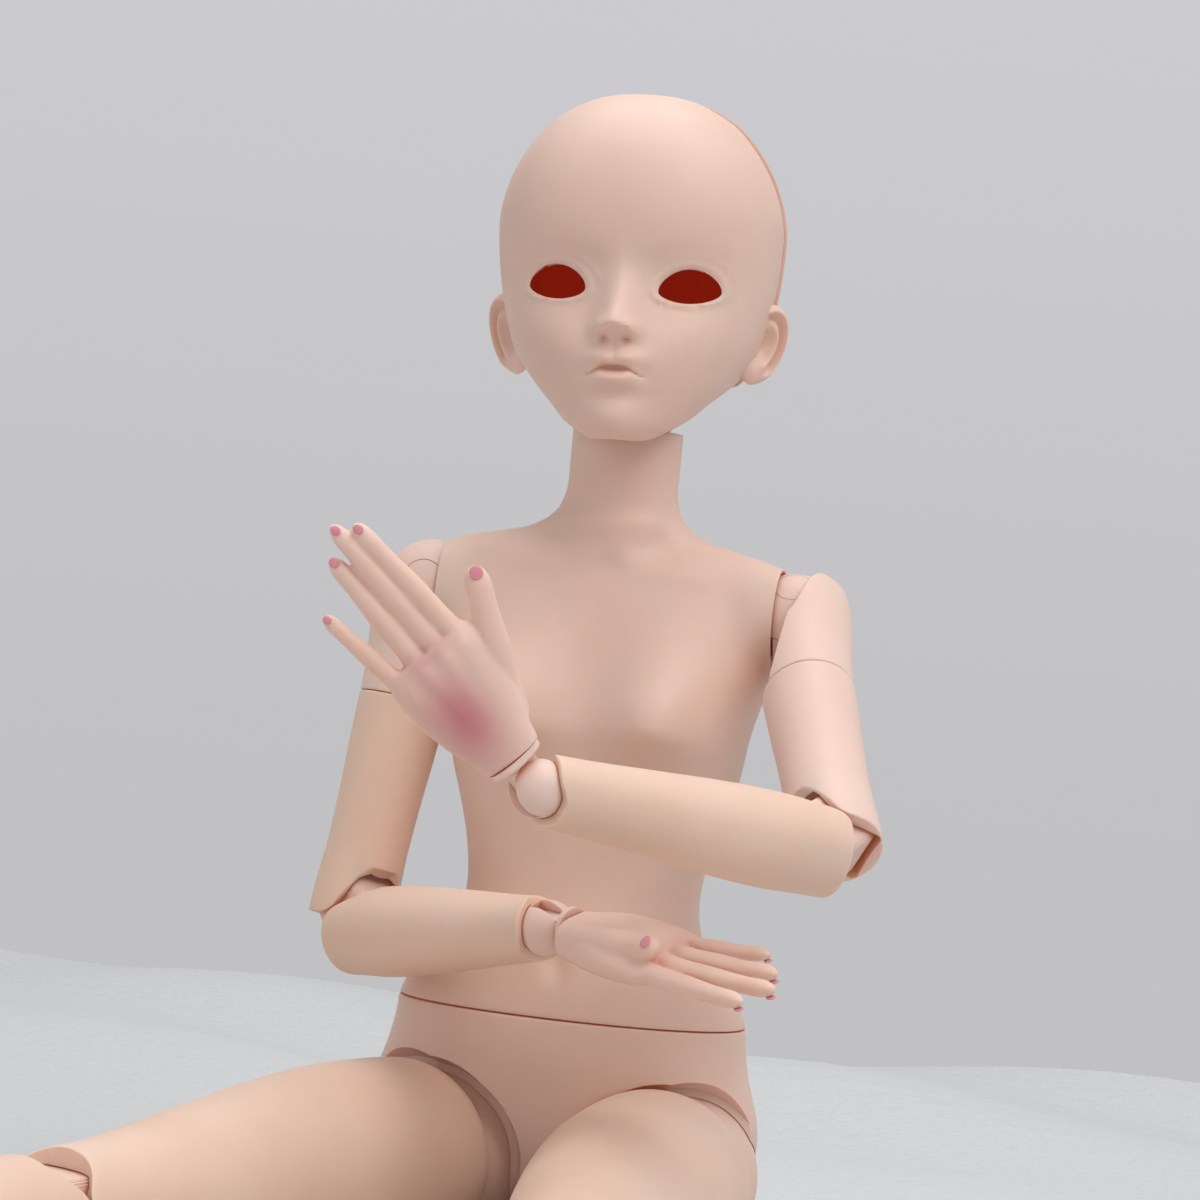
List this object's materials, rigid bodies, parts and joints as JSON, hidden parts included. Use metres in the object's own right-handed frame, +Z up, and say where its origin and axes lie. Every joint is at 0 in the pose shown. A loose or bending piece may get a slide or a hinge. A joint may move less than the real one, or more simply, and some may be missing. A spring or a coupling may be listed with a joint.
{
  "type": "ball jointed doll",
  "caption": "Ball jointed doll sitting with its legs out, with slotted ball shoulders and hips, double hinged elbows and knees, a turning waist and a hollow head with a lift-off cap.",
  "frame": {"origin": "on the flat underside of the pelvis, below the middle of the waist joint", "axes": "+Z up the torso, -Y the way the doll looks and its legs point, +X to the doll's own left"},
  "size_m": [0.2255, 0.3381, 0.2851],
  "materials": {
    "flesh_plastic": "satin",
    "pale_plastic": "satin",
    "limb_plastic": "satin",
    "inner_plastic": "matte",
    "steel": "brushed"
  },
  "bodies": {
    "pelvis": {"pelvis": "pale_plastic"},
    "chest": {"waist_ball": "inner_plastic", "chest": "flesh_plastic"},
    "neck_stem": {"neck_stem": "inner_plastic"},
    "neck_cross": {"neck_cross": "steel"},
    "head": {"face_shell": "flesh_plastic", "head_bridge": "inner_plastic", "magnet_left": "steel", "magnet_right": "steel"},
    "head_cap": {"head_cap": "flesh_plastic"},
    "left_shoulder": {"left_shoulder_block": "pale_plastic", "left_shoulder_pin": "pale_plastic"},
    "left_arm_cap": {"left_arm_cap": "pale_plastic"},
    "left_upper_arm": {"left_upper_arm": "limb_plastic"},
    "left_elbow": {"left_elbow_link": "pale_plastic", "left_elbow_pin_upper": "steel", "left_elbow_pin_lower": "steel"},
    "left_forearm": {"left_forearm": "limb_plastic"},
    "left_wrist": {"left_wrist_block": "pale_plastic", "left_wrist_pin": "pale_plastic"},
    "left_wrist_yoke": {"left_wrist_yoke": "pale_plastic"},
    "left_hand": {"left_hand": "pale_plastic"},
    "left_hip": {"left_hip_block": "pale_plastic", "left_hip_pin": "pale_plastic"},
    "left_hip_yoke": {"left_hip_yoke": "inner_plastic"},
    "left_thigh": {"left_thigh": "limb_plastic"},
    "left_knee": {"left_knee_link": "pale_plastic", "left_knee_pin_upper": "steel", "left_knee_pin_lower": "steel"},
    "left_calf": {"left_calf": "limb_plastic"},
    "left_ankle": {"left_ankle_block": "pale_plastic", "left_ankle_pin": "pale_plastic"},
    "left_foot": {"left_foot": "pale_plastic"},
    "right_shoulder": {"right_shoulder_block": "pale_plastic", "right_shoulder_pin": "pale_plastic"},
    "right_arm_cap": {"right_arm_cap": "pale_plastic"},
    "right_upper_arm": {"right_upper_arm": "limb_plastic"},
    "right_elbow": {"right_elbow_link": "pale_plastic", "right_elbow_pin_upper": "steel", "right_elbow_pin_lower": "steel"},
    "right_forearm": {"right_forearm": "limb_plastic"},
    "right_wrist": {"right_wrist_block": "pale_plastic", "right_wrist_pin": "pale_plastic"},
    "right_wrist_yoke": {"right_wrist_yoke": "pale_plastic"},
    "right_hand": {"right_hand": "pale_plastic"},
    "right_hip": {"right_hip_block": "pale_plastic", "right_hip_pin": "pale_plastic"},
    "right_hip_yoke": {"right_hip_yoke": "inner_plastic"},
    "right_thigh": {"right_thigh": "limb_plastic"},
    "right_knee": {"right_knee_link": "pale_plastic", "right_knee_pin_upper": "steel", "right_knee_pin_lower": "steel"},
    "right_calf": {"right_calf": "limb_plastic"},
    "right_ankle": {"right_ankle_block": "pale_plastic", "right_ankle_pin": "pale_plastic"},
    "right_foot": {"right_foot": "pale_plastic"}
  },
  "joints": [
    {"name": "waist_turn", "type": "hinge", "parent": "pelvis", "child": "chest", "pos_m": [0, 0, 0.068], "axis": [0, 0, -1], "range_deg": [-20, 20]},
    {"name": "neck_turn", "type": "hinge", "parent": "chest", "child": "neck_stem", "pos_m": [0, 0, 0.2162], "axis": [0, 0, -1], "range_deg": [-60, 60]},
    {"name": "neck_nod", "type": "hinge", "parent": "neck_stem", "child": "neck_cross", "pos_m": [0, 0, 0.2162], "axis": [-0.9986, -0.0523, 0], "range_deg": [-12, 12]},
    {"name": "neck_tilt", "type": "hinge", "parent": "neck_cross", "child": "head", "pos_m": [0, 0, 0.2162], "axis": [-0.0523, 0.998, -0.0349], "range_deg": [-9, 9]},
    {"name": "left_shoulder_swing", "type": "hinge", "parent": "chest", "child": "left_shoulder", "pos_m": [0.0439, 0, 0.1643], "axis": [1, 0, 0], "range_deg": [-78, 8]},
    {"name": "left_shoulder_raise", "type": "hinge", "parent": "left_shoulder", "child": "left_arm_cap", "pos_m": [0.0439, 0, 0.1643], "axis": [0, 0.6143, -0.7891], "range_deg": [-73, 16]},
    {"name": "left_arm_twist", "type": "hinge", "parent": "left_arm_cap", "child": "left_upper_arm", "pos_m": [0.05181, -0.02119, 0.1478], "axis": [-0.2823, 0.757, 0.5893], "range_deg": [-23, 175]},
    {"name": "left_elbow_upper", "type": "hinge", "parent": "left_upper_arm", "child": "left_elbow", "pos_m": [0.0655, -0.05791, 0.11922], "axis": [-0.4504, 0.4378, -0.7781], "range_deg": [-40, 24]},
    {"name": "left_elbow_lower", "type": "hinge", "parent": "left_elbow", "child": "left_forearm", "pos_m": [0.06175, -0.0677, 0.11589], "axis": [0.4504, -0.4378, 0.7781], "range_deg": [-24, 40]},
    {"name": "left_wrist_twist", "type": "hinge", "parent": "left_forearm", "child": "left_wrist", "pos_m": [0.00867, -0.10681, 0.1246], "axis": [0.7981, 0.5881, -0.131], "range_deg": [-70, 165]},
    {"name": "left_wrist_bend", "type": "hinge", "parent": "left_wrist", "child": "left_wrist_yoke", "pos_m": [0.00867, -0.10681, 0.1246], "axis": [0.6025, -0.7785, 0.1758], "range_deg": [-17, 92]},
    {"name": "left_hand_turn", "type": "hinge", "parent": "left_wrist_yoke", "child": "left_hand", "pos_m": [0.00867, -0.10681, 0.1246], "axis": [0.6314, 0.3303, -0.7015], "range_deg": [-116, 63]},
    {"name": "left_hip_swing", "type": "hinge", "parent": "pelvis", "child": "left_hip", "pos_m": [0.0268, -0.005, 0.0322], "axis": [1, 0, 0], "range_deg": [-4, 82]},
    {"name": "left_hip_spread", "type": "hinge", "parent": "left_hip", "child": "left_hip_yoke", "pos_m": [0.0268, -0.005, 0.0322], "axis": [0, 0.0541, -0.9985], "range_deg": [-33, 0]},
    {"name": "left_hip_twist", "type": "hinge", "parent": "left_hip_yoke", "child": "left_thigh", "pos_m": [0.0268, -0.005, 0.0322], "axis": [0, 0.9985, 0.0541], "range_deg": [-25, 25]},
    {"name": "left_knee_upper", "type": "hinge", "parent": "left_thigh", "child": "left_knee", "pos_m": [0.0268, -0.13581, 0.02512], "axis": [1, 0, 0], "range_deg": [0, 58]},
    {"name": "left_knee_lower", "type": "hinge", "parent": "left_knee", "child": "left_calf", "pos_m": [0.0268, -0.15278, 0.0242], "axis": [1, 0, 0], "range_deg": [0, 58]},
    {"name": "left_ankle_twist", "type": "hinge", "parent": "left_calf", "child": "left_ankle", "pos_m": [0.0268, -0.27361, 0.01765], "axis": [0, 0.9985, 0.0541], "range_deg": [-30, 30]},
    {"name": "left_ankle_bend", "type": "hinge", "parent": "left_ankle", "child": "left_foot", "pos_m": [0.0268, -0.27361, 0.01765], "axis": [1, 0, 0], "range_deg": [-20, 42]},
    {"name": "right_shoulder_swing", "type": "hinge", "parent": "chest", "child": "right_shoulder", "pos_m": [-0.0439, 0, 0.1643], "axis": [1, 0, 0], "range_deg": [-8, 0]},
    {"name": "right_shoulder_raise", "type": "hinge", "parent": "right_shoulder", "child": "right_arm_cap", "pos_m": [-0.0439, 0, 0.1643], "axis": [0, 0.9885, -0.1513], "range_deg": [-1, 48]},
    {"name": "right_arm_twist", "type": "hinge", "parent": "right_arm_cap", "child": "right_upper_arm", "pos_m": [-0.04702, -0.00421, 0.13679], "axis": [0.1115, 0.1503, 0.9823], "range_deg": [-165, 8]},
    {"name": "right_elbow_upper", "type": "hinge", "parent": "right_upper_arm", "child": "right_elbow", "pos_m": [-0.05243, -0.0115, 0.08915], "axis": [0.6388, 0.7464, -0.1867], "range_deg": [-4, 13]},
    {"name": "right_elbow_lower", "type": "hinge", "parent": "right_elbow", "child": "right_forearm", "pos_m": [-0.04693, -0.01795, 0.08214], "axis": [0.6388, 0.7464, -0.1867], "range_deg": [-4, 13]},
    {"name": "right_wrist_twist", "type": "hinge", "parent": "right_forearm", "child": "right_wrist", "pos_m": [0.00423, -0.05937, 0.09162], "axis": [-0.7693, 0.6227, -0.1426], "range_deg": [-48, 69]},
    {"name": "right_wrist_bend", "type": "hinge", "parent": "right_wrist", "child": "right_wrist_yoke", "pos_m": [0.00423, -0.05937, 0.09162], "axis": [-0.5019, -0.7273, -0.4681], "range_deg": [-42, 13]},
    {"name": "right_hand_turn", "type": "hinge", "parent": "right_wrist_yoke", "child": "right_hand", "pos_m": [0.00423, -0.05937, 0.09162], "axis": [-0.8385, 0.5419, 0.0572], "range_deg": [-7, 172]},
    {"name": "right_hip_swing", "type": "hinge", "parent": "pelvis", "child": "right_hip", "pos_m": [-0.0268, -0.005, 0.0322], "axis": [-1, 0, 0], "range_deg": [-63, 4]},
    {"name": "right_hip_spread", "type": "hinge", "parent": "right_hip", "child": "right_hip_yoke", "pos_m": [-0.0268, -0.005, 0.0322], "axis": [0, 0.0593, -0.9982], "range_deg": [-20, 7]},
    {"name": "right_hip_twist", "type": "hinge", "parent": "right_hip_yoke", "child": "right_thigh", "pos_m": [-0.0268, -0.005, 0.0322], "axis": [0.3907, 0.9189, 0.0546], "range_deg": [-25, 22]},
    {"name": "right_knee_upper", "type": "hinge", "parent": "right_thigh", "child": "right_knee", "pos_m": [-0.07799, -0.12537, 0.02505], "axis": [0.9205, -0.39, -0.0232], "range_deg": [0, 58]},
    {"name": "right_knee_lower", "type": "hinge", "parent": "right_knee", "child": "right_calf", "pos_m": [-0.08463, -0.141, 0.02412], "axis": [0.9205, -0.39, -0.0232], "range_deg": [0, 58]},
    {"name": "right_ankle_twist", "type": "hinge", "parent": "right_calf", "child": "right_ankle", "pos_m": [-0.13191, -0.25218, 0.01751], "axis": [0.3907, 0.9189, 0.0546], "range_deg": [-30, 30]},
    {"name": "right_ankle_bend", "type": "hinge", "parent": "right_ankle", "child": "right_foot", "pos_m": [-0.13191, -0.25218, 0.01751], "axis": [0.9205, -0.39, -0.0232], "range_deg": [-20, 42]},
    {"name": "cap_slide", "type": "slide", "parent": "head", "child": "head_cap", "axis": [-0.0523, 0.998, -0.0349], "range_m": [0, 0.05]}
  ]
}
